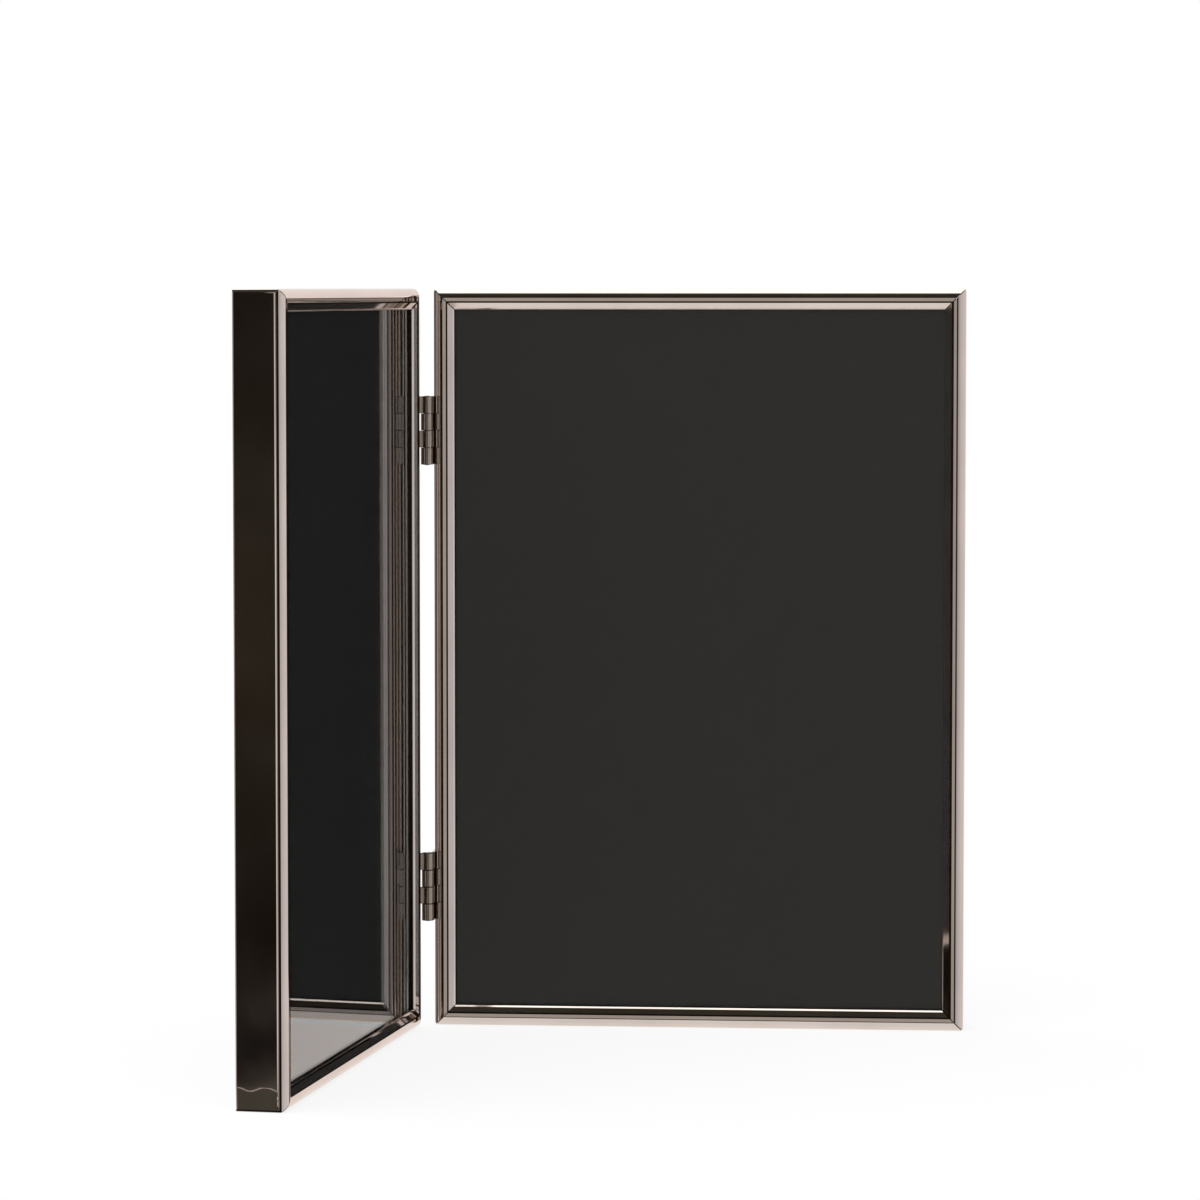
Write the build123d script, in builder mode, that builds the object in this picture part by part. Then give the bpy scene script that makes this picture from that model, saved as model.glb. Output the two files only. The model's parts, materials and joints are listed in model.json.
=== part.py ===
from build123d import *
import math
import os

# A hinged double photo frame: two glazed trays of bent sheet that fold like a book.
# Millimetres, +Z up. The origin is the middle of the right panel's underside, its front faces -Y.

# Driving dimensions of a panel's tray: wall, round shoulder, flat land and bevel down to the glass
panel_width = 132.5
panel_height = 185.0
panel_depth = 12.0
sheet = 0.6
shoulder_radius = 2.3
land_width = 1.0
bevel_run = 1.9
bevel_drop = 1.1
bevel_edge_radius = 0.8
tip_radius = 0.4
rear_lip = 2.4
rear_radius = 0.5
corner_radius = 0.6
mitre_seam = 0.05

# Angle strips soldered into the corners of the tray
key_leg = 16.0
key_thickness = 0.9
key_depth = 6.0
key_setback = 0.7

# What lies in the tray, from the glass back to the velvet; a filler pad takes up the depth that is left
fill_clearance = 0.35
glass_thickness = 2.0
glass_arris = 0.2
card_thickness = 0.4
board_thickness = 2.4
velvet_thickness = 0.4

# Turn clips that reach under the rear lip, and the rivets they turn on
clip_thickness = 0.8
clip_reach = 13.0
clip_eye_radius = 4.0
clip_tip_radius = 2.4
clip_edge_radius = 0.2
clip_wall_clearance = 0.45
clip_lip_clearance = 0.3
clip_play = 0.1
clip_inset = 46.0
rivet_radius = 1.2
rivet_head_radius = 2.4
rivet_head_height = 0.6
rivet_dome_radius = 0.45
rivet_hole_clearance = 0.05

# Butt hinges: knuckles rolled round a pin, leaves brazed on the side walls
hinge_height = 17.0
hinge_inset = 35.3
knuckle_count = 4
knuckle_gap = 0.15
leaf_thickness = 0.8
leaf_width = 10.0
leaf_corner_radius = 0.6
axis_forward = 1.1
pin_radius = 0.7
pin_overhang = 0.2
pin_chamfer = 0.15
pin_fixed_clearance = 0.01
pin_running_clearance = 0.05
notch_clearance = 0.3
open_angle = 96.5

# Sizes that follow from them
bevel_slope = math.atan2(bevel_drop, bevel_run)
rail_face = shoulder_radius + land_width + bevel_run
tray_width = panel_width - 2 * sheet
tray_height = panel_height - 2 * sheet
fill_width = panel_width - 2 * (rear_lip + fill_clearance)
fill_height = panel_height - 2 * (rear_lip + fill_clearance)

# Depths behind the front land where each layer starts: the glass and the cards bear on the bevel
glass_front = bevel_drop + sheet / math.cos(bevel_slope)
card_front = glass_front + glass_thickness
pad_front = card_front + card_thickness

# The clips bear on the rear lip, with the velvet and the board in front of them
clip_front = panel_depth - sheet - clip_lip_clearance - clip_thickness
head_front = clip_front + clip_thickness + clip_play
velvet_front = clip_front - clip_play - velvet_thickness
board_front = velvet_front - board_thickness
pad_thickness = board_front - pad_front

# The hinge axis stands proud of the lands, with the leaf's wall side tangent to the barrel
knuckle_radius = pin_radius + leaf_thickness
knuckle_pitch = hinge_height / knuckle_count
hinge_x = -panel_width / 2 - knuckle_radius
hinge_y = -panel_depth / 2 - axis_forward
hinge_heights = {"upper": panel_height / 2 - hinge_inset, "lower": hinge_inset - panel_height / 2}

# Each panel's plane has its origin in the middle of the front land, y up and z out of the front
right_panel = Plane((0, -panel_depth / 2, panel_height / 2), x_dir=(1, 0, 0), z_dir=(0, -1, 0))
left_flat = Plane((2 * hinge_x, -panel_depth / 2, panel_height / 2), x_dir=(1, 0, 0), z_dir=(0, -1, 0))
hinge_line = Pos(hinge_x, hinge_y)
left_panel = Plane(hinge_line * Rot(Z=180 - open_angle) * hinge_line.inverse() * left_flat.location)

# The hinge is on the -x side of the right panel and on the +x side of the left one
panels = {"right": (right_panel, -1), "left": (left_panel, 1)}

# Turn clips stand on both long sides, in from the ends
pivot_x = tray_width / 2 - clip_wall_clearance - clip_reach
pivot_y = panel_height / 2 - clip_inset
pivots = [(x, y) for x in (-pivot_x, pivot_x) for y in (-pivot_y, pivot_y)]

os.makedirs("parts", exist_ok=True)


def save(piece, name):
    """Label a finished piece and write it under its own name."""
    piece.part.label = name
    export_step(piece.part, f"parts/{name}.step")


def make_rail(name, panel, outward, reach, length):
    """A mitred rail of bent sheet on the side of the panel that outward points to."""
    along = outward.cross(panel.z_dir)
    section_plane = Plane(panel.origin + outward * reach, x_dir=-outward, z_dir=along)
    land_end = shoulder_radius + land_width
    shoulder_centre = (shoulder_radius, shoulder_radius)
    with BuildPart() as rail:
        # The section: x runs in from the wall, y runs back from the land
        with BuildSketch(section_plane) as section:
            with BuildLine():
                Polyline((rear_lip, panel_depth), (0, panel_depth), (0, shoulder_radius))
                CenterArc(shoulder_centre, shoulder_radius, 180, 90)
                Polyline(
                    (shoulder_radius, 0),
                    (land_end, 0),
                    (rail_face, bevel_drop),
                    (rail_face, glass_front),
                    (land_end - sheet * math.tan(bevel_slope / 2), sheet),
                    (shoulder_radius, sheet),
                )
                CenterArc(shoulder_centre, shoulder_radius - sheet, 270, -90)
                Polyline(
                    (sheet, shoulder_radius),
                    (sheet, panel_depth - sheet),
                    (rear_lip, panel_depth - sheet),
                    (rear_lip, panel_depth),
                )
            make_face()
            fillet(section.vertices().group_by(Axis.X)[-1].sort_by(Axis.Y)[0], tip_radius)
            fillet(section.vertices().group_by(Axis.Y)[0].sort_by(Axis.X)[-1], bevel_edge_radius)
            fillet(section.vertices().group_by(Axis.Y)[-1].sort_by(Axis.X)[0], rear_radius)
        extrude(amount=length / 2, both=True)
        # The mitres run from the outer corners at 45 degrees
        for end in (-along, along):
            corner = section_plane.origin + end * (length / 2)
            mitre = Plane(corner, x_dir=panel.z_dir, z_dir=end - outward).offset(-mitre_seam / 2)
            split(bisect_by=mitre, keep=Keep.BOTTOM)
        # The outer corners are eased
        with BuildSketch(panel):
            RectangleRounded(panel_width, panel_height, corner_radius)
        extrude(amount=-panel_depth, mode=Mode.INTERSECT)
    save(rail, name)


def make_corner_keys(name, panel):
    """Four angle strips that lie against the inside of the walls at the corners."""
    with BuildPart() as keys:
        with BuildSketch(panel.offset(-shoulder_radius - key_setback)):
            Rectangle(tray_width, tray_height)
            Rectangle(tray_width - 2 * key_thickness, tray_height - 2 * key_thickness, mode=Mode.SUBTRACT)
            Rectangle(tray_width - 2 * key_leg, tray_height, mode=Mode.SUBTRACT)
            Rectangle(tray_width, tray_height - 2 * key_leg, mode=Mode.SUBTRACT)
        extrude(amount=-key_depth)
    save(keys, name)


def make_glass(name, panel):
    """The glass sheet, its edges seamed."""
    with BuildPart() as glass:
        with BuildSketch(panel.offset(-glass_front)):
            Rectangle(fill_width, fill_height)
        extrude(amount=-glass_thickness)
        through = Axis(panel.origin, panel.z_dir)
        for face in (glass.faces().sort_by(through)[0], glass.faces().sort_by(through)[-1]):
            chamfer(face.edges(), glass_arris)
    save(glass, name)


def make_sheet(name, panel, front, thickness):
    """A plain card as large as the glass."""
    with BuildPart() as card:
        with BuildSketch(panel.offset(-front)):
            Rectangle(fill_width, fill_height)
        extrude(amount=-thickness)
    save(card, name)


def make_backing_board(name, panel):
    """The board, drilled for the rivets and counterbored for their inner heads."""
    front_face = panel.offset(-board_front)
    with BuildPart() as board:
        with BuildSketch(front_face):
            Rectangle(fill_width, fill_height)
        extrude(amount=-board_thickness)
        with Locations(front_face):
            with Locations(*pivots):
                CounterBoreHole(
                    rivet_radius + rivet_hole_clearance,
                    rivet_head_radius + rivet_hole_clearance,
                    rivet_head_height,
                )
    save(board, name)


def make_velvet_facing(name, panel):
    """The pile cloth glued on the back of the board."""
    front_face = panel.offset(-velvet_front)
    with BuildPart() as velvet:
        with BuildSketch(front_face):
            Rectangle(fill_width, fill_height)
        extrude(amount=-velvet_thickness)
        with Locations(front_face):
            with Locations(*pivots):
                Hole(rivet_radius + rivet_hole_clearance)
    save(velvet, name)


def make_clip_rivets(name, panel):
    """The rivets, from the flat head in the board to the domed head behind the clip."""
    shank_front = board_front + rivet_head_height
    steps = [
        (board_front, rivet_head_radius, rivet_head_height),
        (shank_front, rivet_radius, head_front - shank_front),
        (head_front, rivet_head_radius, rivet_head_height),
    ]
    with BuildPart() as rivets:
        for front, radius, height in steps:
            with BuildSketch(panel.offset(-front)):
                with Locations(*pivots):
                    Circle(radius)
            extrude(amount=-height)
        fillet(rivets.edges().group_by(Axis(panel.origin, panel.z_dir))[0], rivet_dome_radius)
    save(rivets, name)


def make_clip(name, panel, pivot):
    """A turn clip, pointing out to the nearest long side."""
    outward = panel.x_dir * math.copysign(1, pivot[0])
    eye = panel.from_local_coords((pivot[0], pivot[1], -clip_front))
    clip_plane = Plane(eye, x_dir=outward, z_dir=panel.z_dir)
    with BuildPart() as clip:
        with BuildSketch(clip_plane):
            Circle(clip_eye_radius)
            with Locations((clip_reach - clip_tip_radius, 0)):
                Circle(clip_tip_radius)
            make_hull()
        extrude(amount=-clip_thickness)
        fillet(clip.edges().group_by(Axis(eye, panel.z_dir))[0], clip_edge_radius)
        with Locations(clip_plane):
            Hole(rivet_radius + pin_running_clearance)
    save(clip, name)


def make_hinge_leaf(name, panel, hinge_side, height, bore_radius):
    """A leaf with every second knuckle, counted from its own end of the hinge."""
    outward = panel.x_dir * hinge_side
    middle = panel.origin + outward * (panel_width / 2) + panel.y_dir * height
    start = Plane(middle, x_dir=-outward, z_dir=outward.cross(panel.z_dir)).offset(-hinge_height / 2)
    axis_point = (-knuckle_radius, -axis_forward)
    notch = knuckle_radius + notch_clearance - axis_forward
    low_corner = (Align.MAX, Align.MIN)
    with BuildPart() as leaf:
        # The plate lies on the wall, and is cut back beside the other leaf's knuckles
        with BuildSketch(start):
            with Locations((0, notch)):
                Rectangle(leaf_thickness, leaf_width - axis_forward - notch, align=low_corner)
        extrude(amount=hinge_height)
        rear_corners = leaf.edges().filter_by(Axis((0, 0, 0), outward))
        fillet(rear_corners.group_by(Axis(middle, panel.z_dir))[0], leaf_corner_radius)
        # Each knuckle is the plate's strap rolled round the pin
        for index in range(0, knuckle_count, 2):
            with BuildSketch(start.offset(index * knuckle_pitch + knuckle_gap / 2)):
                with Locations(axis_point):
                    Circle(knuckle_radius)
                with Locations((0, -axis_forward)):
                    Rectangle(leaf_thickness, leaf_thickness + knuckle_radius, align=low_corner)
            extrude(amount=knuckle_pitch - knuckle_gap)
        with BuildSketch(start):
            with Locations(axis_point):
                Circle(bore_radius)
        extrude(amount=hinge_height, mode=Mode.SUBTRACT)
    save(leaf, name)


def make_hinge_pin(name, height):
    """A pin that stands a little proud of the barrel at both ends."""
    foot = panel_height / 2 + height - hinge_height / 2 - pin_overhang
    with BuildPart() as pin:
        with BuildSketch(Plane((hinge_x, hinge_y, foot))):
            Circle(pin_radius)
        extrude(amount=hinge_height + 2 * pin_overhang)
        chamfer(pin.edges().filter_by(GeomType.CIRCLE), pin_chamfer)
    save(pin, name)


# The two trays and what they hold
for side, (panel, hinge_side) in panels.items():
    hinge_out = panel.x_dir * hinge_side
    make_rail(f"{side}_top_rail", panel, panel.y_dir, panel_height / 2, panel_width)
    make_rail(f"{side}_bottom_rail", panel, -panel.y_dir, panel_height / 2, panel_width)
    make_rail(f"{side}_hinge_rail", panel, hinge_out, panel_width / 2, panel_height)
    make_rail(f"{side}_outer_rail", panel, -hinge_out, panel_width / 2, panel_height)
    make_corner_keys(f"{side}_corner_keys", panel)
    make_glass(f"{side}_glass", panel)
    make_sheet(f"{side}_insert_card", panel, card_front, card_thickness)
    make_sheet(f"{side}_card_pad", panel, pad_front, pad_thickness)
    make_backing_board(f"{side}_backing_board", panel)
    make_velvet_facing(f"{side}_velvet_facing", panel)
    make_clip_rivets(f"{side}_clip_rivets", panel)
    for pivot in pivots:
        level = "upper" if pivot[1] > 0 else "lower"
        edge = "hinge" if pivot[0] * hinge_side > 0 else "outer"
        make_clip(f"{side}_clip_{level}_{edge}", panel, pivot)

# The hinges: the pins are fixed in the right leaves and run in the left ones
bores = {"right": pin_radius + pin_fixed_clearance, "left": pin_radius + pin_running_clearance}
for level, height in hinge_heights.items():
    for side, (panel, hinge_side) in panels.items():
        make_hinge_leaf(f"{level}_{side}_leaf", panel, hinge_side, height, bores[side])
    make_hinge_pin(f"{level}_pin", height)
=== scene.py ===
import json
import math

import bmesh
import bpy
from mathutils import Matrix, Vector

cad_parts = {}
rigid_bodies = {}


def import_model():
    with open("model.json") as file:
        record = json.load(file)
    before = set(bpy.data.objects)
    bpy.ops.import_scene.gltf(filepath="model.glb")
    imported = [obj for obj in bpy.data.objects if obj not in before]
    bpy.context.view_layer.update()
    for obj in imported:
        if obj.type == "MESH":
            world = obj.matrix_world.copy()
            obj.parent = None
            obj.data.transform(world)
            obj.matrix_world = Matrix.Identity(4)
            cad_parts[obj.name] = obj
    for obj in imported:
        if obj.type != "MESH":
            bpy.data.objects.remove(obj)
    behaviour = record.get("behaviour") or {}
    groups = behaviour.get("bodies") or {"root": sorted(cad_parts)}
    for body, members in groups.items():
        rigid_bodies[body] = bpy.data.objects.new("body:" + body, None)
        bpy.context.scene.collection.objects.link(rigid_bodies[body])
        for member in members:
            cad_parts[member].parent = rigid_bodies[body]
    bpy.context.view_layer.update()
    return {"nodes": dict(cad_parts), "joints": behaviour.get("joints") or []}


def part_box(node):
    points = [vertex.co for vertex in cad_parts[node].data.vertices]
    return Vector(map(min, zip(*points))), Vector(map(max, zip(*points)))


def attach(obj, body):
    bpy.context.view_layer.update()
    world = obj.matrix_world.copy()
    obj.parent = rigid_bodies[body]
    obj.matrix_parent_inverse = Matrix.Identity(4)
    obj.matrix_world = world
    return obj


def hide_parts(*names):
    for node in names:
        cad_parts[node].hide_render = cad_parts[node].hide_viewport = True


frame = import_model()

# Tray rails. Each panel is a tray of four strips of thin brass sheet, rolled to a round shoulder, a narrow
# land and a bevel that holds the glass. They are mitred, soldered at the corners, nickel plated and buffed
# to a mirror.
mm = 0.001
sides = ("right", "left")
tray_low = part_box("right_hinge_rail")[0]
tray_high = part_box("right_outer_rail")[1]
panel_width = tray_high.x - tray_low.x
panel_depth = tray_high.y - tray_low.y
panel_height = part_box("right_top_rail")[1].z
sheet = 0.6 * mm
shoulder_radius = 2.3 * mm
shoulder_facets = 24
land_width = 1.0 * mm
bevel_run = 1.9 * mm
bevel_drop = 1.1 * mm
bevel_edge_radius = 1.1 * mm
lip_run = 0.42 * mm
lip_drop = 0.43 * mm
gentle_lip_drop = 0.25 * mm
tip_radius = 0.3 * mm
edge_facets = 6
rear_lip = 2.4 * mm
rear_radius = 0.5 * mm
rear_facets = 8
crease_depth = 0.08 * mm
crease_near_wall = (math.radians(15), math.radians(26))
crease_at_land = math.radians(86)
corner_radius = 1.0 * mm
corner_cuts = 3
mitre_degrees = 45
mitre_seam = 0.12 * mm
mitre_chamfer = 0.06 * mm
knock_reach = 5.1 * mm
knock_depth = 0.32 * mm
knock_wave = 0.5 * mm
knock_wave_length = 7 * mm
knock_cuts = 20
hair = 0.02 * mm
speck = hair / 10
rail_smooth_angle = math.radians(16)

# A panel's own axes: x along its width, y up and z out of its front, from the middle of the front land
fold = frame["joints"][0]
hinge_line = Vector(fold["pos_m"])
swung_forward = math.radians(180 - fold["range_deg"][1])
upright = Matrix.Rotation(math.radians(90), 4, "X")
right_panel = Matrix.Translation((0, tray_low.y, panel_height / 2)) @ upright
left_panel = (
    Matrix.Translation(hinge_line)
    @ Matrix.Rotation(swung_forward, 4, "Z")
    @ Matrix.Translation((hinge_line.x, -hinge_line.y, 0))
    @ right_panel
)
panels = {"right": right_panel, "left": left_panel}


def begin(primitive, scale=(1, 1, 1), **settings):
    """Start a piece from a primitive at its size and place, alone in the selection and open for editing."""
    bpy.ops.object.select_all(action="DESELECT")
    primitive(**settings)
    piece = bpy.context.object
    piece.scale = scale
    bpy.ops.object.transform_apply(location=True, rotation=True, scale=True)
    bpy.ops.object.mode_set(mode="EDIT")
    bpy.ops.mesh.select_mode(type="VERT")
    bpy.ops.mesh.select_all(action="SELECT")
    return piece


def select(kind, passes):
    """Select the edges or faces of the open mesh whose middle passes a test, and nothing else."""
    bpy.ops.mesh.select_mode(type=kind)
    bpy.ops.mesh.select_all(action="DESELECT")
    mesh = bmesh.from_edit_mesh(bpy.context.object.data)
    for element in mesh.edges if kind == "EDGE" else mesh.faces:
        middle = sum((corner.co for corner in element.verts), Vector()) / len(element.verts)
        element.select_set(passes(middle))
    bmesh.update_edit_mesh(bpy.context.object.data)


def cut(point, normal, **settings):
    """Bisect the whole open mesh with a plane."""
    bpy.ops.mesh.select_all(action="SELECT")
    bpy.ops.mesh.bisect(plane_co=point, plane_no=normal, **settings)


def modify(piece, kind, **settings):
    """Add a modifier with its settings and apply it."""
    modifier = piece.modifiers.new(kind.title(), kind)
    for name, value in settings.items():
        setattr(modifier, name, value)
    bpy.ops.object.modifier_apply(modifier=modifier.name)


def face_outwards():
    """Turn all faces of the open mesh outwards."""
    bpy.ops.mesh.select_all(action="SELECT")
    bpy.ops.mesh.normals_make_consistent(inside=False)


def end(piece, smooth_angle):
    """Leave edit mode, smooth the gentle edges and let the wide faces lead the shading."""
    bpy.ops.object.mode_set(mode="OBJECT")
    bpy.ops.object.shade_smooth_by_angle(angle=smooth_angle)
    modify(piece, "WEIGHTED_NORMAL", keep_sharp=True)


def copy_to(model, name, place):
    """A copy of a model under its own name, with its own mesh that holds its place."""
    piece = model.copy()
    piece.data = model.data.copy()
    piece.name = name
    piece.matrix_world = place
    bpy.context.collection.objects.link(piece)
    bpy.ops.object.select_all(action="DESELECT")
    piece.select_set(True)
    bpy.context.view_layer.objects.active = piece
    bpy.ops.object.transform_apply(location=True, rotation=True, scale=True)
    return piece


def model_rail(length, lip=lip_drop, land_crease=True, wall_crease=False, knocked=False):
    """A rail along X, its wall at Y 0, its land at Z 0 and its opening towards -Z.

    It may have creases on the shoulder, beside the land and beside the wall, and one end may be knocked in.
    """
    slope = math.atan2(bevel_drop, bevel_run)
    bevel_slope = math.atan2(bevel_drop - lip, bevel_run - lip_run)
    lip_slope = math.atan2(lip, lip_run)
    land_end = shoulder_radius + land_width
    tip = land_end + bevel_run
    tip_back = bevel_drop + sheet / math.cos(slope)
    tip_tangent = tip_radius * math.tan((math.pi / 2 - lip_slope) / 2)
    fold_back = land_end - sheet * math.tan(slope / 2)
    edge_tangent = bevel_edge_radius * math.tan(bevel_slope / 2)
    # The section as distances in from the wall and back from the land: from the outer front corner round the
    # tip, the inside and the rear lip
    section = [
        (0, 0), (land_end, 0), (tip - lip_run, bevel_drop - lip), (tip, bevel_drop), (tip, tip_back),
        (fold_back, sheet), (sheet, sheet), (sheet, panel_depth - sheet), (rear_lip, panel_depth - sheet),
        (rear_lip, panel_depth), (0, panel_depth),
    ]
    rail = begin(bpy.ops.mesh.primitive_plane_add, size=sheet, location=(-length / 2, 0, 0))
    bpy.ops.mesh.merge(type="CENTER")
    for (u, v), (next_u, next_v) in zip(section, section[1:]):
        step = (0, next_u - u, v - next_v)
        bpy.ops.mesh.extrude_vertices_move(TRANSFORM_OT_translate={"value": step})
    bpy.ops.mesh.select_all(action="SELECT")
    bpy.ops.mesh.edge_face_add()
    bpy.ops.mesh.extrude_region_move(TRANSFORM_OT_translate={"value": (length, 0, 0)})
    # Each bend: where it is in the section, the length of its tangents and its facets
    bends = [
        ((0, 0), shoulder_radius, shoulder_facets),
        ((sheet, sheet), shoulder_radius - sheet, shoulder_facets),
        ((land_end, 0), edge_tangent, edge_facets),
        ((tip, bevel_drop), tip_tangent, edge_facets),
        ((0, panel_depth), rear_radius, rear_facets),
    ]
    for (u, v), tangent, facets in bends:
        select("EDGE", lambda middle: (middle.yz - Vector((u, -v))).length < hair)
        bpy.ops.mesh.bevel(offset=tangent, segments=facets, affect="EDGES")
    # Fine creases run along it, between the land and the bevel and, on some rails, on the shoulder. They and
    # the faces beside them are painted with shade.
    rail.data.materials.append(nickel)
    rail.data.materials.append(painted_shade)

    def in_crease(middle):
        out = middle.yz - Vector((shoulder_radius, -shoulder_radius))
        from_wall = math.atan2(out.y, -out.x)
        on_shoulder = out.x < 0 and abs(out.length - shoulder_radius) < hair
        on_bevel_edge = abs(middle.y - land_end) < edge_tangent and -edge_tangent < middle.z < -speck
        near_wall = wall_crease and crease_near_wall[0] < from_wall < crease_near_wall[1]
        near_land = land_crease and from_wall > crease_at_land
        return on_bevel_edge or on_shoulder and (near_wall or near_land)

    select("FACE", in_crease)
    bpy.ops.mesh.extrude_region_shrink_fatten(TRANSFORM_OT_shrink_fatten={"value": -crease_depth})
    bpy.ops.mesh.select_more()
    rail.active_material_index = 1
    bpy.ops.object.material_slot_assign()
    # A knocked end leans in from a wavy line across the wall
    if knocked:
        for step in range(1, knock_cuts):
            from_end = (knock_reach + 2 * knock_wave) * step / knock_cuts
            from_shoulder = (panel_depth - shoulder_radius) * step / knock_cuts
            cut((length / 2 - from_end, 0, 0), (1, 0, 0))
            cut((0, 0, -shoulder_radius - from_shoulder), (0, 0, 1))
        mesh = bmesh.from_edit_mesh(rail.data)
        for corner in mesh.verts:
            if corner.co.y < sheet + hair and corner.co.z < hair - shoulder_radius:
                from_rear = corner.co.z + panel_depth
                reach = knock_reach + knock_wave * math.cos(2 * math.pi * from_rear / knock_wave_length)
                share = max(0, 1 - (length / 2 - corner.co.x) / reach)
                corner.co.y += knock_depth * share
        bmesh.update_edit_mesh(rail.data)
    # At each end, cuts that ease the outer corner, then the mitre and the small chamfer along it, which is
    # painted with shade as a dark seam
    for way in (-1, 1):
        for step in range(corner_cuts):
            turn = math.radians(mitre_degrees * (step + 0.5) / corner_cuts)
            facing = Vector((way * math.sin(turn), -math.cos(turn), 0))
            centre = Vector((way * (length / 2 - corner_radius), corner_radius, 0))
            cut(centre + facing * corner_radius, facing, use_fill=True, clear_outer=True)
        mitre = Vector((way, 1, 0)).normalized()
        mitre_point = Vector((way * length / 2, 0, 0)) - mitre * mitre_seam / 2
        cut(mitre_point, mitre, use_fill=True, clear_outer=True)
        select("EDGE", lambda middle: abs((middle - mitre_point).dot(mitre)) < speck)
        bpy.ops.mesh.bevel(offset=mitre_chamfer, segments=1, affect="EDGES", clamp_overlap=False)
        select("FACE", lambda middle: abs((middle - mitre_point).dot(mitre)) < mitre_chamfer)
        bpy.ops.object.material_slot_assign()
    face_outwards()
    end(rail, rail_smooth_angle)
    return rail


def linear(colour):
    """An sRGB hex colour as linear light, with full alpha."""
    channels = [int(colour[place:place + 2], 16) / 255 for place in (1, 3, 5)]
    return [c / 12.92 if c <= 0.04045 else ((c + 0.055) / 1.055) ** 2.4 for c in channels] + [1.0]


def add_node(tree, kind, values=None, links=None, stops=()):
    """Add a shader node with its settings and socket values, the outputs that feed it and a ramp's stops."""
    node = tree.nodes.new("ShaderNode" + kind)
    for name, value in (values or {}).items():
        if isinstance(name, int) or name in node.inputs:
            node.inputs[name].default_value = value
        else:
            setattr(node, name, value)
    for name, output in (links or {}).items():
        tree.links.new(output, node.inputs[name])
    for place, _ in stops[2:]:
        node.color_ramp.elements.new(place)
    for element, (place, colour) in zip(node.color_ramp.elements if stops else (), stops):
        element.position = place
        element.color = colour
    return node


def new_material(name):
    """An empty node material and its tree."""
    material = bpy.data.materials.new(name)
    material.use_nodes = True
    material.node_tree.nodes.clear()
    return material, material.node_tree


# Bright nickel on buffed brass is a warm mirror. Wiping leaves a faint haze on it and buffing a slow ripple.
nickel, tree = new_material("polished_nickel_plate")
haze_size = 18 * mm
ripple_size = 14 * mm
ripple_height = 0.012 * mm
where = add_node(tree, "TexCoord")
haze = add_node(tree, "TexNoise", {"Scale": 1 / haze_size, "Detail": 5},
                {"Vector": where.outputs["Object"]})
tint = add_node(tree, "ValToRGB", links={"Fac": haze.outputs["Fac"]},
                stops=[(0.35, linear("#d6cac2")), (0.65, linear("#ded2ca"))])
gloss = add_node(tree, "MapRange", {"From Min": 0.3, "From Max": 0.7, "To Min": 0.03, "To Max": 0.07},
                 {"Value": haze.outputs["Fac"]})
ripple = add_node(tree, "TexNoise", {"Scale": 1 / ripple_size, "Detail": 1},
                  {"Vector": where.outputs["Object"]})
bump = add_node(tree, "Bump", {"Distance": ripple_height}, {"Height": ripple.outputs["Fac"]})
surface = add_node(tree, "BsdfPrincipled", {"Metallic": 1.0},
                   {"Base Color": tint.outputs["Color"], "Roughness": gloss.outputs["Result"],
                    "Normal": bump.outputs["Normal"]})
add_node(tree, "OutputMaterial", links={"Surface": surface.outputs["BSDF"]})

# Painted shade: a dull dark brown laid in the creases and mitre seams of the rails and between the hinge
# knuckles, where shade falls. It draws fine dark lines along the rails. Its speckle is drawn coarse, to
# show.
painted_shade, tree = new_material("painted_shade_in_creases_and_seams")
shade_speckle_size = 0.8 * mm
shade_speckle_height = 0.02 * mm
where = add_node(tree, "TexCoord")
shade_speckle = add_node(tree, "TexNoise", {"Scale": 1 / shade_speckle_size, "Detail": 4},
                 {"Vector": where.outputs["Object"]})
tint = add_node(tree, "ValToRGB", links={"Fac": shade_speckle.outputs["Fac"]},
                stops=[(0.3, linear("#0e0a07")), (0.7, linear("#211913"))])
bump = add_node(tree, "Bump", {"Distance": shade_speckle_height}, {"Height": shade_speckle.outputs["Fac"]})
surface = add_node(tree, "BsdfPrincipled", {"Roughness": 0.7, "Specular IOR Level": 0.05},
                   {"Base Color": tint.outputs["Color"], "Normal": bump.outputs["Normal"]})
add_node(tree, "OutputMaterial", links={"Surface": surface.outputs["BSDF"]})

# The left tray's bottom rail has an even shoulder and its outer rail a knocked end. The right tray's outer
# rail has a gentler lip.
short_rail = model_rail(panel_width)
even_rail = model_rail(panel_width, land_crease=False)
outer_rail = model_rail(panel_height, lip=gentle_lip_drop)
hinge_rail = model_rail(panel_height, wall_crease=True)
knocked_rail = model_rail(panel_height, wall_crease=True, knocked=True)
for side, panel in panels.items():
    bottom_rail, low_x_rail, high_x_rail = short_rail, ("hinge_rail", hinge_rail), ("outer_rail", outer_rail)
    if side == "left":
        bottom_rail, low_x_rail, high_x_rail = even_rail, ("outer_rail", knocked_rail), low_x_rail
    round_the_tray = [
        ("bottom_rail", bottom_rail, panel_height / 2),
        (*high_x_rail, panel_width / 2),
        ("top_rail", short_rail, panel_height / 2),
        (*low_x_rail, panel_width / 2),
    ]
    for quarter_turns, (name, model, reach) in enumerate(round_the_tray):
        turn = Matrix.Rotation(quarter_turns * math.pi / 2, 4, "Z")
        rail = copy_to(model, f"{side}_{name}_plated", panel @ turn @ Matrix.Translation((0, -reach, 0)))
        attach(rail, f"{side}_panel")
        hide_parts(f"{side}_{name}")
for model in (short_rail, even_rail, outer_rail, hinge_rail, knocked_rail):
    bpy.data.objects.remove(model)

# Corner keys. Angle strips of cold-rolled steel lie in the corners of each tray, behind the mitres, and are
# soldered to the walls. They keep the shape of the construction model.

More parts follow.
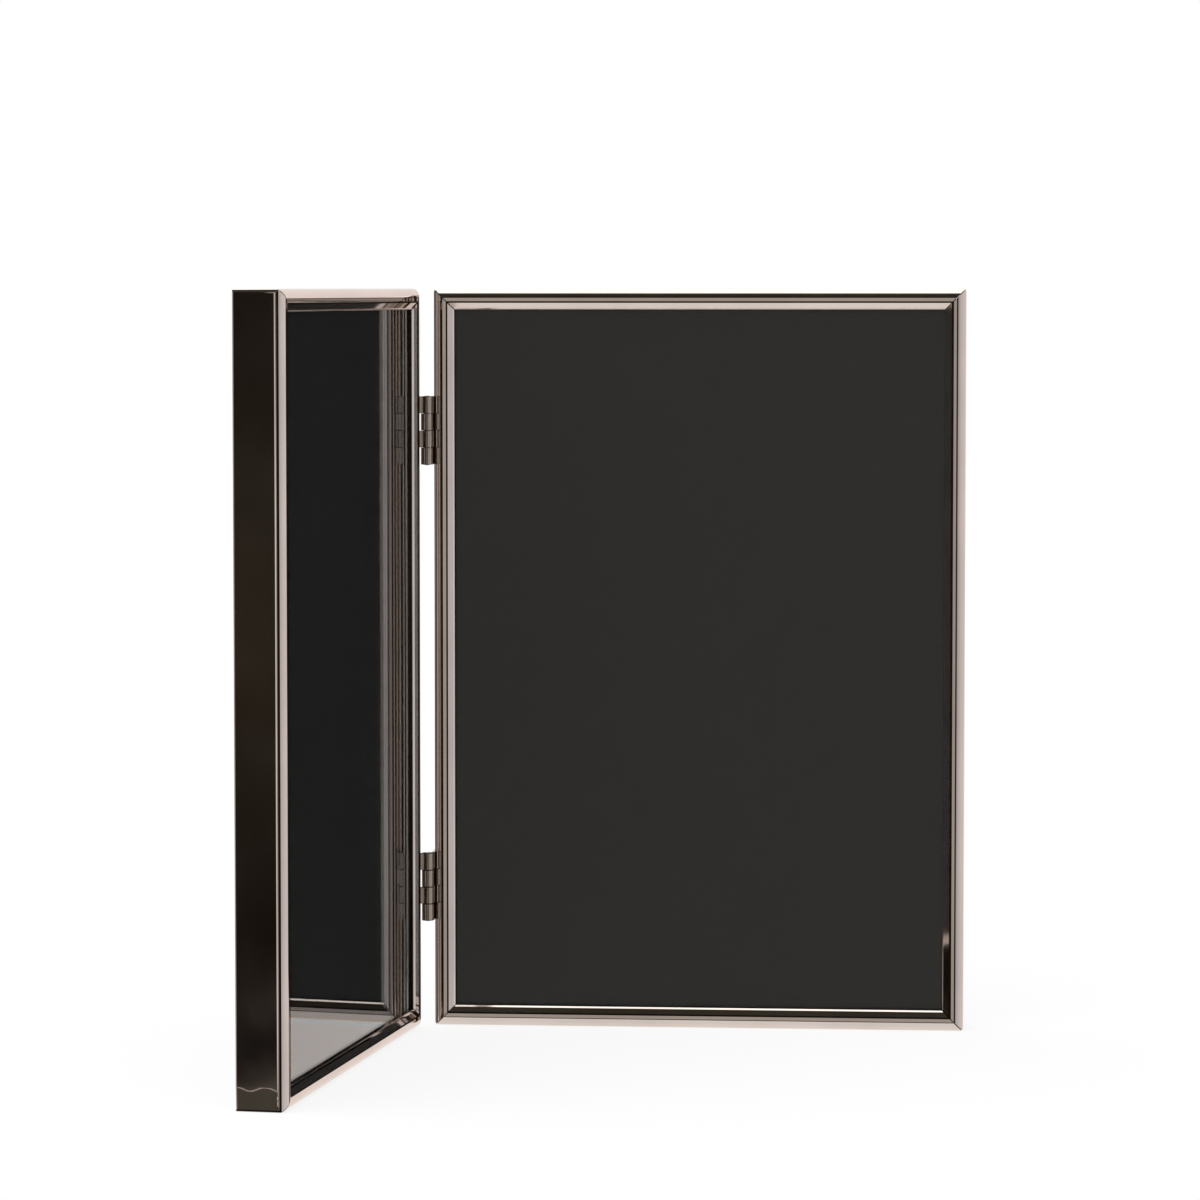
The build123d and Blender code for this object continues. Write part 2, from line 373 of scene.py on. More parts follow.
# Rolled strip is a plain grey metal with a soft sheen that the rolls have drawn out in streaks. They are
# drawn coarser than they are, so that they show.
steel, tree = new_material("rolled_steel_strip")
streak_size = 0.4 * mm
streak_length = 9 * mm
streak_height = 0.004 * mm
where = add_node(tree, "TexCoord")
along = add_node(tree, "Mapping", {"Scale": (1 / streak_size, 1 / streak_size, 1 / streak_length)},
                 {"Vector": where.outputs["Object"]})
streaks = add_node(tree, "TexNoise", {"Scale": 1.0, "Detail": 4}, {"Vector": along.outputs["Vector"]})
tint = add_node(tree, "ValToRGB", links={"Fac": streaks.outputs["Fac"]},
                stops=[(0.3, linear("#9c9a96")), (0.7, linear("#c2c0bc"))])
gloss = add_node(tree, "MapRange", {"From Min": 0.3, "From Max": 0.7, "To Min": 0.24, "To Max": 0.36},
                 {"Value": streaks.outputs["Fac"]})
bump = add_node(tree, "Bump", {"Distance": streak_height}, {"Height": streaks.outputs["Fac"]})
surface = add_node(tree, "BsdfPrincipled", {"Metallic": 1.0},
                   {"Base Color": tint.outputs["Color"], "Roughness": gloss.outputs["Result"],
                    "Normal": bump.outputs["Normal"]})
add_node(tree, "OutputMaterial", links={"Surface": surface.outputs["BSDF"]})
for side in sides:
    frame["nodes"][f"{side}_corner_keys"].material_slots[0].material = steel

# Glass. A sheet of 2 mm float glass with a low-reflection coating lies against the back of the bevel in each
# tray. It keeps the shape of the construction model.

# The coating takes much of the mirror image away, so the glass is clear from the front and mirrors at a
# shallow angle. It is clean but for the faint marks of a cloth.
glass, tree = new_material("low_reflection_float_glass")
wipe_size = 30 * mm
where = add_node(tree, "TexCoord")
wipes = add_node(tree, "TexNoise", {"Scale": 1 / wipe_size, "Detail": 6, "Distortion": 1.5},
                 {"Vector": where.outputs["Object"]})
gloss = add_node(tree, "MapRange", {"From Min": 0.45, "From Max": 0.8, "To Min": 0.0, "To Max": 0.03},
                 {"Value": wipes.outputs["Fac"]})
surface = add_node(tree, "BsdfPrincipled",
                   {"Base Color": linear("#fafdfb"), "IOR": 1.52, "Specular Tint": linear("#c8c8c8"),
                    "Transmission Weight": 1.0},
                   {"Roughness": gloss.outputs["Result"]})
add_node(tree, "OutputMaterial", links={"Surface": surface.outputs["BSDF"]})
for side in sides:
    frame["nodes"][f"{side}_glass"].material_slots[0].material = glass

# Insert cards. A bare charcoal card lies behind each glass, a hair back from it, where a print goes. It is
# die-cut from dyed uncoated stock, with soft corners.
card_gap = 0.05 * mm
card_corner = 0.8 * mm
card_corner_facets = 6
card_low, card_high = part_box("right_insert_card")
card_thickness = card_high.y - card_low.y - card_gap
card_front = card_low.y - tray_low.y + card_gap
card_middle = -card_front - card_thickness / 2
card_model = begin(bpy.ops.mesh.primitive_cube_add, size=1, location=(0, 0, card_middle),
                   scale=(card_high.x - card_low.x, card_high.z - card_low.z, card_thickness))
select("EDGE", lambda middle: abs(middle.z - card_middle) < card_gap)
bpy.ops.mesh.bevel(offset=card_corner, segments=card_corner_facets, affect="EDGES")
end(card_model, rail_smooth_angle)

# Dyed uncoated card is a flat, dull charcoal with a faint mottle. Its fibres are drawn coarser than they
# are, so that they show.
card, tree = new_material("dyed_charcoal_card")
fibre_size = 0.5 * mm
fibre_height = 0.01 * mm
mottle_size = 6 * mm
mottle_share = 0.35
where = add_node(tree, "TexCoord")
fibres = add_node(tree, "TexNoise", {"Scale": 1 / fibre_size, "Detail": 4, "Distortion": 0.8},
                  {"Vector": where.outputs["Object"]})
mottle = add_node(tree, "TexNoise", {"Scale": 1 / mottle_size, "Detail": 3},
                  {"Vector": where.outputs["Object"]})
mixed = add_node(tree, "MixRGB", {"Fac": mottle_share},
                 {"Color1": fibres.outputs["Fac"], "Color2": mottle.outputs["Fac"]})
tint = add_node(tree, "ValToRGB", links={"Fac": mixed.outputs["Color"]},
                stops=[(0.3, linear("#242423")), (0.7, linear("#262625"))])
bump = add_node(tree, "Bump", {"Strength": 0.3, "Distance": fibre_height}, {"Height": fibres.outputs["Fac"]})
surface = add_node(tree, "BsdfPrincipled", {"Roughness": 0.95, "Specular IOR Level": 0.02},
                   {"Base Color": tint.outputs["Color"], "Normal": bump.outputs["Normal"]})
add_node(tree, "OutputMaterial", links={"Surface": surface.outputs["BSDF"]})
for side, panel in panels.items():
    insert = copy_to(card_model, f"{side}_insert_card_bare", panel)
    insert.data.materials.append(card)
    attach(insert, f"{side}_panel")
    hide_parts(f"{side}_insert_card")
bpy.data.objects.remove(card_model)

# Filler pads. A pad of grey board, cut to the size of the backing board, takes up the depth between it and
# the card and is pressed in place by it. It keeps the shape of the construction model.

# Board of recycled pulp is a dull, warm grey, flecked with paler and darker fibres
grey_board, tree = new_material("recycled_grey_board")
fleck_size = 0.7 * mm
fleck_height = 0.02 * mm
where = add_node(tree, "TexCoord")
flecks = add_node(tree, "TexNoise", {"Scale": 1 / fleck_size, "Detail": 5},
                  {"Vector": where.outputs["Object"]})
tint = add_node(tree, "ValToRGB", links={"Fac": flecks.outputs["Fac"]},
                stops=[(0.35, linear("#8b857b")), (0.65, linear("#a59f94"))])
bump = add_node(tree, "Bump", {"Distance": fleck_height}, {"Height": flecks.outputs["Fac"]})
surface = add_node(tree, "BsdfPrincipled", {"Roughness": 0.9},
                   {"Base Color": tint.outputs["Color"], "Normal": bump.outputs["Normal"]})
add_node(tree, "OutputMaterial", links={"Surface": surface.outputs["BSDF"]})
for side in sides:
    frame["nodes"][f"{side}_card_pad"].material_slots[0].material = grey_board

# Backing boards. Brown hardboard closes each tray, drilled and counterbored for the rivets and held in by
# the turn clips. It keeps the shape of the construction model.

# Pressed hardboard is brown and half dull, mottled by clumps of wood fibre
hardboard, tree = new_material("brown_hardboard")
clump_size = 1.2 * mm
clump_height = 0.02 * mm
where = add_node(tree, "TexCoord")
clumps = add_node(tree, "TexNoise", {"Scale": 1 / clump_size, "Detail": 6},
                  {"Vector": where.outputs["Object"]})
tint = add_node(tree, "ValToRGB", links={"Fac": clumps.outputs["Fac"]},
                stops=[(0.3, linear("#5d4630")), (0.7, linear("#806344"))])
bump = add_node(tree, "Bump", {"Distance": clump_height}, {"Height": clumps.outputs["Fac"]})
surface = add_node(tree, "BsdfPrincipled", {"Roughness": 0.7},
                   {"Base Color": tint.outputs["Color"], "Normal": bump.outputs["Normal"]})
add_node(tree, "OutputMaterial", links={"Surface": surface.outputs["BSDF"]})
for side in sides:
    frame["nodes"][f"{side}_backing_board"].material_slots[0].material = hardboard

# Velvet facings. Black short-pile velvet is glued over the back of each board and pierced for the rivets.
# Its pile lies unevenly and spreads a little past the board's edges.
pile_unevenness = 0.12 * mm
pile_patch = 7 * mm
pile_spread = 0.27 * mm
nap_columns = 64
nap_rows = 90
velvet_edge = 0.1 * mm
velvet_edge_facets = 3
velvet_smooth_angle = math.radians(40)
shank_radius = 1.2 * mm
hole_facets = 48
velvet_low, velvet_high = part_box("right_velvet_facing")
velvet_width = velvet_high.x - velvet_low.x + 2 * pile_spread
velvet_height = velvet_high.z - velvet_low.z + 2 * pile_spread
velvet_thickness = velvet_high.y - velvet_low.y
velvet_back = velvet_high.y - tray_low.y
velvet_model = begin(bpy.ops.mesh.primitive_grid_add, size=1,
                     x_subdivisions=nap_columns, y_subdivisions=nap_rows,
                     location=(0, 0, -velvet_back), rotation=(math.pi, 0, 0),
                     scale=(velvet_width, velvet_height, 1))
bpy.ops.object.mode_set(mode="OBJECT")
nap = bpy.data.textures.new("nap", "CLOUDS")
nap.noise_scale = pile_patch
modify(velvet_model, "DISPLACE", texture=nap, strength=pile_unevenness, mid_level=1.0, direction="NORMAL")
modify(velvet_model, "SOLIDIFY", thickness=velvet_thickness - pile_unevenness, offset=-1.0)
modify(velvet_model, "BEVEL", width=velvet_edge, segments=velvet_edge_facets, limit_method="ANGLE")
clip_turns = [joint for joint in frame["joints"] if joint["name"].endswith("_turn")]
for joint in clip_turns:
    if joint["parent"] == "right_panel":
        spot = right_panel.inverted() @ Vector(joint["pos_m"])
        punch = begin(bpy.ops.mesh.primitive_cylinder_add, vertices=hole_facets, radius=shank_radius,
                      depth=panel_depth, location=spot)
        bpy.ops.object.mode_set(mode="OBJECT")
        bpy.context.view_layer.objects.active = velvet_model
        modify(velvet_model, "BOOLEAN", object=punch, operation="DIFFERENCE", solver="EXACT")
        bpy.data.objects.remove(punch)
velvet_model.select_set(True)
bpy.ops.object.shade_smooth_by_angle(angle=velvet_smooth_angle)

# Short pile drinks the light. It is almost black, with soft lighter patches where it is brushed aside. Its
# tufts are drawn coarser than they are, so that they show.
velvet, tree = new_material("black_short_pile_velvet")
tuft_size = 0.35 * mm
tuft_height = 0.08 * mm
brush_size = 22 * mm
brush_share = 0.55
where = add_node(tree, "TexCoord")
tufts = add_node(tree, "TexNoise", {"Scale": 1 / tuft_size, "Detail": 2},
                 {"Vector": where.outputs["Object"]})
brushed = add_node(tree, "TexNoise", {"Scale": 1 / brush_size, "Detail": 3, "Distortion": 1.2},
                   {"Vector": where.outputs["Object"]})
mixed = add_node(tree, "MixRGB", {"Fac": brush_share},
                 {"Color1": tufts.outputs["Fac"], "Color2": brushed.outputs["Fac"]})
tint = add_node(tree, "ValToRGB", links={"Fac": mixed.outputs["Color"]},
                stops=[(0.35, linear("#111112")), (0.65, linear("#2d2d30"))])
bump = add_node(tree, "Bump", {"Strength": 0.8, "Distance": tuft_height}, {"Height": tufts.outputs["Fac"]})
surface = add_node(tree, "BsdfPrincipled",
                   {"Roughness": 0.95, "Specular IOR Level": 0.1, "Sheen Weight": 0.5,
                    "Sheen Roughness": 0.4, "Sheen Tint": linear("#6a6a70")},
                   {"Base Color": tint.outputs["Color"], "Normal": bump.outputs["Normal"]})
add_node(tree, "OutputMaterial", links={"Surface": surface.outputs["BSDF"]})
for side, panel in panels.items():
    facing = copy_to(velvet_model, f"{side}_velvet_facing_pile", panel)
    facing.data.materials.append(velvet)
    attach(facing, f"{side}_panel")
    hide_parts(f"{side}_velvet_facing")
bpy.data.objects.remove(velvet_model)

# Clip rivets. Four steel rivets stand in each board, with flat heads sunk in its front and domed heads
# behind the clips that turn on them.
head_radius = 2.4 * mm
head_height = 0.6 * mm
head_dome = 0.45 * mm
head_facets = 40
dome_facets = 6
round_smooth_angle = math.radians(30)
rivet_low, rivet_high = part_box("right_clip_rivets")
shank_length = rivet_high.y - rivet_low.y - 2 * head_height
rivet_end = -shank_length - 2 * head_height
rivet_model = begin(bpy.ops.mesh.primitive_circle_add, vertices=head_facets, radius=head_radius,
                    fill_type="NGON", location=(0, 0, 0))
bpy.ops.mesh.extrude_region_move(TRANSFORM_OT_translate={"value": (0, 0, -head_height)})
bpy.ops.mesh.inset(thickness=head_radius - shank_radius)
bpy.ops.mesh.extrude_region_move(TRANSFORM_OT_translate={"value": (0, 0, -shank_length)})
bpy.ops.mesh.extrude_region_move(TRANSFORM_OT_translate={"value": (0, 0, 0)})
bpy.ops.transform.resize(value=(head_radius / shank_radius, head_radius / shank_radius, 1))
bpy.ops.mesh.extrude_region_move(TRANSFORM_OT_translate={"value": (0, 0, -head_height)})
select("EDGE", lambda middle: abs(middle.z - rivet_end) < hair)
bpy.ops.mesh.bevel(offset=head_dome, segments=dome_facets, affect="EDGES")
face_outwards()
end(rivet_model, round_smooth_angle)
for side, panel in panels.items():
    rivets = []
    for joint in clip_turns:
        if joint["parent"] == f"{side}_panel":
            spot = panel.inverted() @ Vector(joint["pos_m"])
            spot.z = -(rivet_low.y - tray_low.y)
            rivets.append(copy_to(rivet_model, f"{side}_clip_rivet", panel @ Matrix.Translation(spot)))
    for rivet in rivets:
        rivet.select_set(True)
    bpy.ops.object.join()
    rivets = bpy.context.object
    rivets.name = f"{side}_clip_rivets_headed"
    rivets.data.materials.append(steel)
    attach(rivets, f"{side}_panel")
    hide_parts(f"{side}_clip_rivets")
bpy.data.objects.remove(rivet_model)

# Turn clips. Pressed steel tongues, one on each rivet, reach under the rear lip and hold the board in.
# Turned aside, they let it out.
clip_eye_radius = 4.0 * mm
clip_tip_radius = 2.4 * mm
clip_facets = 64
clip_reach = 13.0 * mm
clip_edge_radius = 0.2 * mm
clip_edge_facets = 4
clip_play = 0.05 * mm
flat_angle = math.radians(1)
clip_low, clip_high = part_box("right_clip_upper_outer")
clip_thickness = clip_high.y - clip_low.y
drill_length = 4 * clip_thickness
clip_model = begin(bpy.ops.mesh.primitive_cylinder_add, vertices=clip_facets, radius=clip_eye_radius,
                   depth=clip_thickness, location=(0, 0, -clip_thickness / 2))
bpy.ops.mesh.primitive_cylinder_add(vertices=clip_facets, radius=clip_tip_radius, depth=clip_thickness,
                                    location=(clip_reach - clip_tip_radius, 0, -clip_thickness / 2))
bpy.ops.mesh.select_all(action="SELECT")
bpy.ops.mesh.convex_hull()
bpy.ops.mesh.dissolve_limited(angle_limit=flat_angle)
select("EDGE", lambda middle: abs(middle.z + clip_thickness) < clip_edge_radius / 2)
bpy.ops.mesh.bevel(offset=clip_edge_radius, segments=clip_edge_facets, affect="EDGES")
bpy.ops.object.mode_set(mode="OBJECT")
drill = begin(bpy.ops.mesh.primitive_cylinder_add, vertices=hole_facets, radius=shank_radius + clip_play,
              depth=drill_length)
bpy.ops.object.mode_set(mode="OBJECT")
bpy.context.view_layer.objects.active = clip_model
modify(clip_model, "BOOLEAN", object=drill, operation="DIFFERENCE", solver="EXACT")
bpy.data.objects.remove(drill)
clip_model.select_set(True)
bpy.ops.object.mode_set(mode="EDIT")
face_outwards()
end(clip_model, round_smooth_angle)
for joint in clip_turns:
    node = joint["child"]
    panel = panels[node.split("_")[0]]
    spot = panel.inverted() @ Vector(joint["pos_m"])
    points_out = Matrix.Rotation(0 if spot.x > 0 else math.pi, 4, "Z")
    clip = copy_to(clip_model, f"{node}_pressed", panel @ Matrix.Translation(spot) @ points_out)
    clip.data.materials.append(steel)
    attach(clip, node)
    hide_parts(node)
bpy.data.objects.remove(clip_model)

# Hinge leaves. Small butt hinges of plated strip: each leaf is brazed on a side wall, and two straps of it
# are rolled round the pin as knuckles, which mesh with the other leaf's.
levels = ("upper", "lower")
knuckle_count = 4
knuckle_gap = 0.1 * mm
knuckle_end_tilt = 0.2
strap_thickness = 0.75 * mm
strap_edge = 0.08 * mm
strap_edge_facets = 2
strap_edge_angle = math.radians(40)
roll_angle = math.radians(288)
roll_facets = 40
leaf_notch = 0.7 * mm
leaf_rear = 8.9 * mm
leaf_corner = 0.6 * mm
leaf_corner_facets = 5
leaf_low, leaf_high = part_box("upper_right_leaf")
hinge_height = leaf_high.z - leaf_low.z
knuckle_pitch = hinge_height / knuckle_count
axis_out = tray_low.x - hinge_line.x
axis_forward = tray_low.y - hinge_line.y

# The hinges are plated with the trays but not buffed, so they are duller and browner, with lines along the
# strip. The lines are drawn coarser than they are, so that they show.
dull_nickel, tree = new_material("unbuffed_nickel_plate")
grain_size = 0.15 * mm
grain_length = 4 * mm
grain_height = 0.003 * mm
where = add_node(tree, "TexCoord")
along = add_node(tree, "Mapping", {"Scale": (1 / grain_size, 1 / grain_size, 1 / grain_length)},
                 {"Vector": where.outputs["Object"]})
grain = add_node(tree, "TexNoise", {"Scale": 1.0, "Detail": 3}, {"Vector": along.outputs["Vector"]})
tint = add_node(tree, "ValToRGB", links={"Fac": grain.outputs["Fac"]},
                stops=[(0.3, linear("#978b80")), (0.7, linear("#b0a498"))])
gloss = add_node(tree, "MapRange", {"From Min": 0.3, "From Max": 0.7, "To Min": 0.1, "To Max": 0.2},
                 {"Value": grain.outputs["Fac"]})
bump = add_node(tree, "Bump", {"Distance": grain_height}, {"Height": grain.outputs["Fac"]})
surface = add_node(tree, "BsdfPrincipled", {"Metallic": 1.0},
                   {"Base Color": tint.outputs["Color"], "Roughness": gloss.outputs["Result"],
                    "Normal": bump.outputs["Normal"]})
add_node(tree, "OutputMaterial", links={"Surface": surface.outputs["BSDF"]})

leaf_model = begin(bpy.ops.mesh.primitive_plane_add, size=1, rotation=(0, math.pi / 2, 0),
                   location=(0, 0, -(leaf_notch + leaf_rear) / 2),
                   scale=(leaf_rear - leaf_notch, hinge_height, 1))
knuckle_middles = []
for index in range(0, knuckle_count, 2):
    foot = -hinge_height / 2 + index * knuckle_pitch + knuckle_gap / 2
    top = foot + knuckle_pitch - knuckle_gap
    knuckle_middles.append((foot + top) / 2)
    cut((0, foot, 0), (0, 1, 0))
    cut((0, top, 0), (0, 1, 0))
select("EDGE", lambda middle: abs(middle.z + leaf_notch) < strap_edge and any(
    abs(middle.y - knuckle) < knuckle_gap for knuckle in knuckle_middles))
bpy.ops.mesh.extrude_region_move(TRANSFORM_OT_translate={"value": (0, 0, leaf_notch + axis_forward)})
bpy.ops.mesh.spin(steps=roll_facets, angle=roll_angle, center=(-axis_out, 0, axis_forward), axis=(0, 1, 0))
face_outwards()
bpy.ops.object.mode_set(mode="OBJECT")
plate_faces_wall = leaf_model.data.polygons[0].normal.x > 0
modify(leaf_model, "SOLIDIFY", thickness=strap_thickness, offset=-1.0 if plate_faces_wall else 1.0,
       use_even_offset=True)
bpy.ops.object.mode_set(mode="EDIT")
select("EDGE", lambda middle: abs(middle.x + strap_thickness / 2) < strap_edge and abs(
    middle.z + leaf_rear) < strap_edge and abs(middle.y) > hinge_height / 2 - strap_edge)
bpy.ops.mesh.bevel(offset=leaf_corner, segments=leaf_corner_facets, affect="EDGES")
bpy.ops.object.mode_set(mode="OBJECT")
modify(leaf_model, "BEVEL", width=strap_edge, segments=strap_edge_facets, limit_method="ANGLE",
       angle_limit=strap_edge_angle)
# The knuckles' ends, in the seams between them, are painted with shade
leaf_model.data.materials.append(dull_nickel)
leaf_model.data.materials.append(painted_shade)
for face in leaf_model.data.polygons:
    if face.center.z > -leaf_notch and abs(face.normal.y) > knuckle_end_tilt:
        face.material_index = 1
bpy.ops.object.mode_set(mode="EDIT")
end(leaf_model, round_smooth_angle)
for level in levels:
    leaf_low, leaf_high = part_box(f"{level}_right_leaf")
    height = (leaf_low.z + leaf_high.z - panel_height) / 2
    for side, panel in panels.items():
        edge = -1 if side == "right" else 1
        turn = Matrix.Rotation(0 if side == "right" else math.pi, 4, "Z")
        on_wall = Matrix.Translation((edge * panel_width / 2, height, 0))
        leaf = copy_to(leaf_model, f"{level}_{side}_leaf_rolled", panel @ on_wall @ turn)
        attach(leaf, f"{side}_panel")
        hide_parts(f"{level}_{side}_leaf")
bpy.data.objects.remove(leaf_model)

# Hinge pins. A plated steel wire runs through each barrel, tight in the right leaf's knuckles and free in
# the left's, with its ends turned round.
pin_round = 0.3 * mm
pin_round_facets = 5
pin_facets = 40
pin_low, pin_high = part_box("upper_pin")
pin_radius = (pin_high.x - pin_low.x) / 2
pin_length = pin_high.z - pin_low.z
pin_model = begin(bpy.ops.mesh.primitive_cylinder_add, vertices=pin_facets, radius=pin_radius,
                  depth=pin_length)
select("EDGE", lambda middle: abs(abs(middle.z) - pin_length / 2) < strap_edge)
bpy.ops.mesh.bevel(offset=pin_round, segments=pin_round_facets, affect="EDGES")
end(pin_model, round_smooth_angle)
for level in levels:
    pin_low, pin_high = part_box(f"{level}_pin")
    pin = copy_to(pin_model, f"{level}_pin_turned", Matrix.Translation((pin_low + pin_high) / 2))
    pin.data.materials.append(dull_nickel)
    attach(pin, "right_panel")
    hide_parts(f"{level}_pin")
bpy.data.objects.remove(pin_model)

# Table top. The frame stands on a matt white table. It shows white wherever no shadow falls, and most of its
# light is its own, which keeps the shadow faint. Metal mirrors only a narrow white strip of it at the right
# panel's foot.
floor_size = 4.0
floor_front = -0.17
strip_depth = 6 * mm
table_glow = 0.86
table_paint = linear("#767676")
white_top, tree = new_material("matt_white_table_top")
ray = add_node(tree, "LightPath")
mirrored = add_node(tree, "Math", {"operation": "MAXIMUM"},
                    {0: ray.outputs["Is Glossy Ray"], 1: ray.outputs["Is Transmission Ray"]})
looked_at = add_node(tree, "Math", {"operation": "MAXIMUM"},
                     {0: ray.outputs["Is Camera Ray"], 1: mirrored.outputs["Value"]})
own_light = add_node(tree, "Math", {"operation": "MULTIPLY", 1: table_glow}, {0: looked_at.outputs["Value"]})
paint = add_node(tree, "BsdfDiffuse", {"Color": table_paint})
glow = add_node(tree, "Emission", links={"Strength": own_light.outputs["Value"]})
both = add_node(tree, "AddShader", links={0: paint.outputs["BSDF"], 1: glow.outputs["Emission"]})
add_node(tree, "OutputMaterial", links={"Surface": both.outputs["Shader"]})
floor = begin(bpy.ops.mesh.primitive_plane_add, size=floor_size,
              location=(0, floor_front + floor_size / 2, 0))
bpy.ops.object.mode_set(mode="OBJECT")
floor.name = "table_top"
floor.visible_glossy = False
floor.visible_transmission = False
strip = begin(bpy.ops.mesh.primitive_plane_add, size=1, location=(0, tray_low.y - strip_depth / 2, 0),
              scale=(panel_width, strip_depth, 1))
bpy.ops.object.mode_set(mode="OBJECT")
strip.name = "table_top_at_foot"
strip.visible_camera = False
strip.visible_diffuse = False
strip.visible_shadow = False
for top in (floor, strip):
    top.data.materials.append(white_top)

# Studio. Soft light falls from the front left and from above. Polished metal and glass mirror the studio: a
# large softbox overhead, white floor and backdrop, a dark room in front, pale screens at the sides, and a
# grey card with a white edge.
key_direction = Vector((-0.6, -0.6, 0.53)).normalized()
key_fades_at = -0.4
dimmest_light = 0.05
brightest_light = 1.57
softbox_direction = Vector((0, 0.309, 0.951))
softbox_rim = (0.655, 0.672)
softbox_light = 1.7
before_first_bounce = 0.5
world = bpy.data.worlds.new("studio")
bpy.context.scene.world = world
world.use_nodes = True
tree = world.node_tree
tree.nodes.clear()
where = add_node(tree, "TexCoord")
axes = add_node(tree, "SeparateXYZ", links={"Vector": where.outputs["Generated"]})
from_key = add_node(tree, "VectorMath", {"operation": "DOT_PRODUCT", 1: key_direction},
                    {0: where.outputs["Generated"]})
soft = add_node(tree, "MapRange",
                {"From Min": key_fades_at, "To Min": dimmest_light, "To Max": brightest_light},
                {"Value": from_key.outputs["Value"]})
forward = add_node(tree, "Math", {"operation": "MULTIPLY", 1: -1.0}, {0: axes.outputs["Y"]})
azimuth = add_node(tree, "Math", {"operation": "ARCTAN2"},
                   {0: axes.outputs["X"], 1: forward.outputs["Value"]})
elevation = add_node(tree, "Math", {"operation": "ARCSINE"}, {0: axes.outputs["Z"]})
round_about = add_node(tree, "MapRange", {"From Min": -math.pi, "From Max": math.pi},
                       {"Value": azimuth.outputs["Value"]})
up_and_down = add_node(tree, "MapRange", {"From Min": -math.pi / 2, "From Max": math.pi / 2},
                       {"Value": elevation.outputs["Value"]})
from_softbox = add_node(tree, "VectorMath", {"operation": "DOT_PRODUCT", 1: softbox_direction},
                        {0: where.outputs["Generated"]})
overhead = add_node(tree, "MapRange",
                    {"From Min": softbox_rim[0], "From Max": softbox_rim[1], "To Max": softbox_light},
                    {"Value": from_softbox.outputs["Value"]})
# Tones of the studio by the angle in degrees, round from the front to the right, or up from the horizon
front_up = [(-90, "#f8f5f3"), (-45, "#f8f5f3"), (-42, "#2b2722"), (-14, "#4c4a43"), (-11.6, "#4c4a43"),
            (-10.9, "#c4bbb2"), (-10.2, "#c4bbb2"), (-9.6, "#0a0806"), (-6.5, "#1e1914"), (-4, "#302b23"),
            (0, "#1c1814"), (14, "#2e2922"), (42, "#35322b"), (60, "#6e6c60")]
screens_round = [(-180, "#f4eeea"), (-163, "#f4eeea"), (-156, "#1c1814"), (-127, "#1c1814"),
                 (-125, "#eee3da"), (-119, "#eee3da"), (-117, "#1c1814"), (-93, "#1c1814"),
                 (-89, "#eee3da"), (-68, "#eee3da"), (-63, "#000000"), (16, "#000000"), (18, "#a8a5a6"),
                 (35, "#cac9cc"), (80, "#e2e1e4"), (150, "#f2e6e1"), (165, "#f8eee9")]
screens_up = [(-90, "#ffffff"), (26, "#ffffff"), (29, "#000000")]
card_round = [(-19, "#000000"), (-17.5, "#f4eee8"), (-9.5, "#f4eee8"), (-8.5, "#b2aca6"), (0, "#b2aca6"),
              (2, "#000000")]
card_up = [(-10, "#000000"), (-9, "#ffffff"), (2, "#ffffff"), (3, "#000000")]
degrees_round = 360
degrees_up = 180
ramp_middle = 0.5
tones = []
for stops, reach, angle in ((front_up, degrees_up, up_and_down), (screens_round, degrees_round, round_about),
                            (screens_up, degrees_up, up_and_down), (card_round, degrees_round, round_about),
                            (card_up, degrees_up, up_and_down)):
    stops = [(degrees / reach + ramp_middle, linear(colour)) for degrees, colour in stops]
    ramp = add_node(tree, "ValToRGB", links={"Fac": angle.outputs["Result"]}, stops=stops)
    tones.append(ramp.outputs["Color"])
front, screen_across, screen_tall, card_across, card_tall = tones
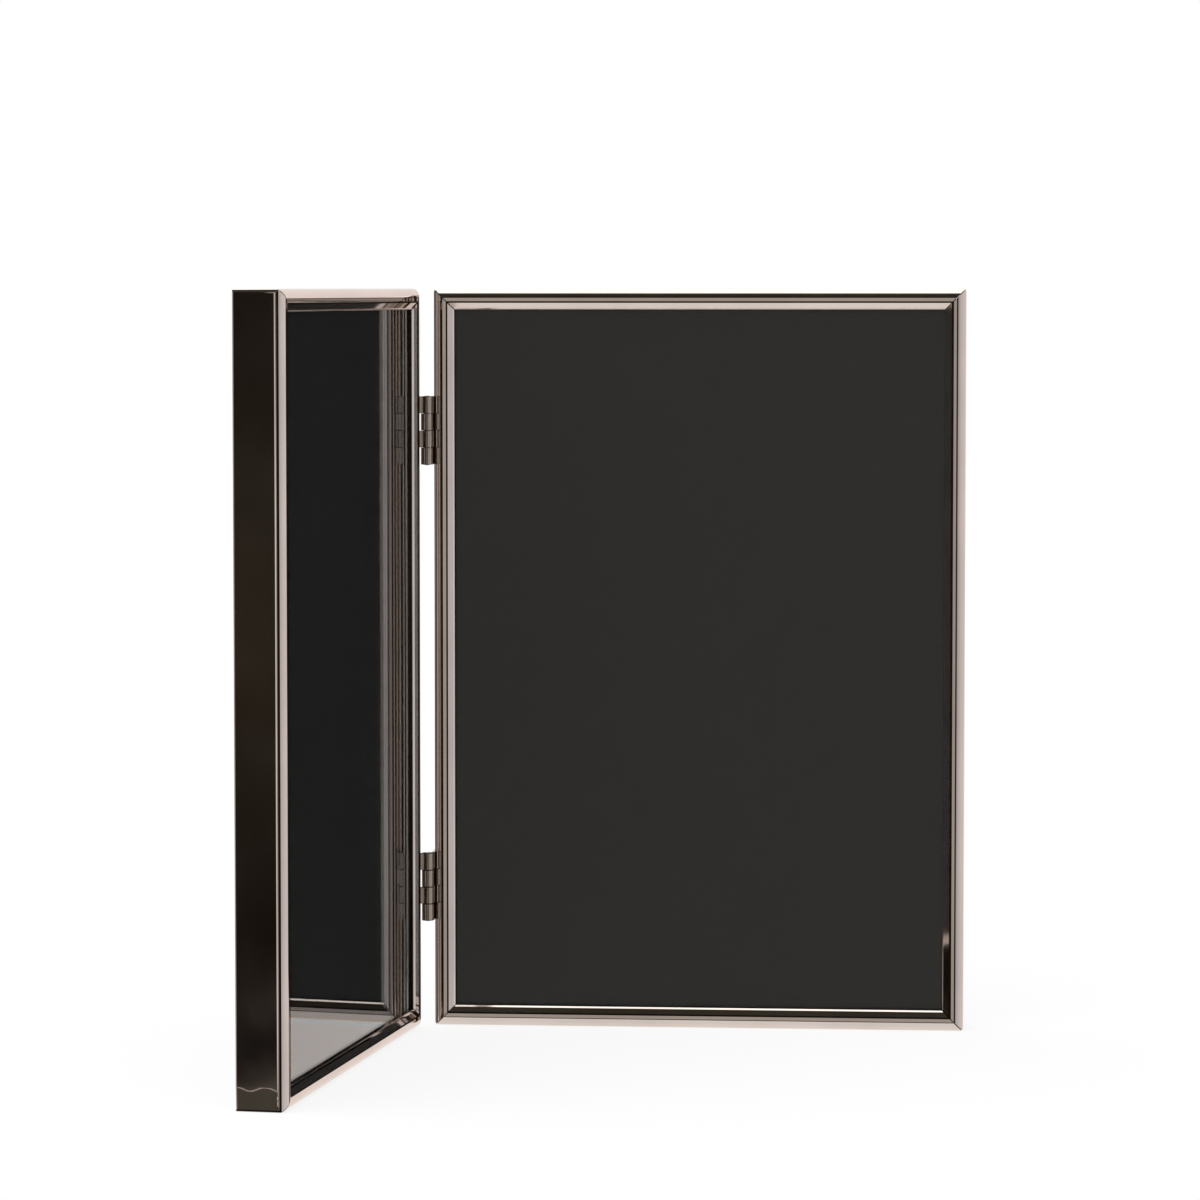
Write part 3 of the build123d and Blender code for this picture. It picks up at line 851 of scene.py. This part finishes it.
screens = add_node(tree, "MixRGB", {"blend_type": "MULTIPLY", "Fac": 1.0},
                   {"Color1": screen_across, "Color2": screen_tall})
grey_card = add_node(tree, "MixRGB", {"blend_type": "MULTIPLY", "Fac": 1.0},
                     {"Color1": card_across, "Color2": card_tall})
mirrored = front
for brighter in (screens.outputs["Color"], grey_card.outputs["Color"], overhead.outputs["Result"]):
    mix = add_node(tree, "MixRGB", {"blend_type": "LIGHTEN", "Fac": 1.0},
                   {"Color1": mirrored, "Color2": brighter})
    mirrored = mix.outputs["Color"]
# Mirrors show these tones, all else is lit by the soft light, and the camera sees plain white
ray = add_node(tree, "LightPath")
bounced = add_node(tree, "Math", {"operation": "MAXIMUM"},
                   {0: ray.outputs["Is Glossy Ray"], 1: ray.outputs["Is Transmission Ray"]})
not_lighting = add_node(tree, "Math", {"operation": "LESS_THAN", 1: before_first_bounce},
                        {0: ray.outputs["Diffuse Depth"]})
mirroring = add_node(tree, "Math", {"operation": "MULTIPLY"},
                     {0: bounced.outputs["Value"], 1: not_lighting.outputs["Value"]})
lit = add_node(tree, "MixRGB", links={"Fac": mirroring.outputs["Value"], "Color1": soft.outputs["Result"],
                                      "Color2": mirrored})
seen = add_node(tree, "MixRGB", {"Color2": linear("#ffffff")},
                {"Fac": ray.outputs["Is Camera Ray"], "Color1": lit.outputs["Color"]})
sky = add_node(tree, "Background", links={"Color": seen.outputs["Color"]})
add_node(tree, "OutputWorld", links={"Surface": sky.outputs["Background"]})

# Camera. A long lens at the height of the frame's top, a little to its right, looks slightly down and to the
# left. Lengths are in metres, but the lens and the sensor's width are in millimetres.
camera_place = (0.07582, -1.22219, 0.18538)
camera_dip_degrees = 3.653
camera_turn_degrees = 4.717
lens_length = 147.06
sensor_width = 36
camera = bpy.data.objects.new("camera", bpy.data.cameras.new("camera"))
bpy.context.collection.objects.link(camera)
camera.location = camera_place
camera.rotation_euler = (math.radians(90 - camera_dip_degrees), 0, math.radians(camera_turn_degrees))
camera.data.lens = lens_length
camera.data.sensor_width = sensor_width
bpy.context.scene.camera = camera
bpy.context.scene.view_settings.view_transform = "Standard"
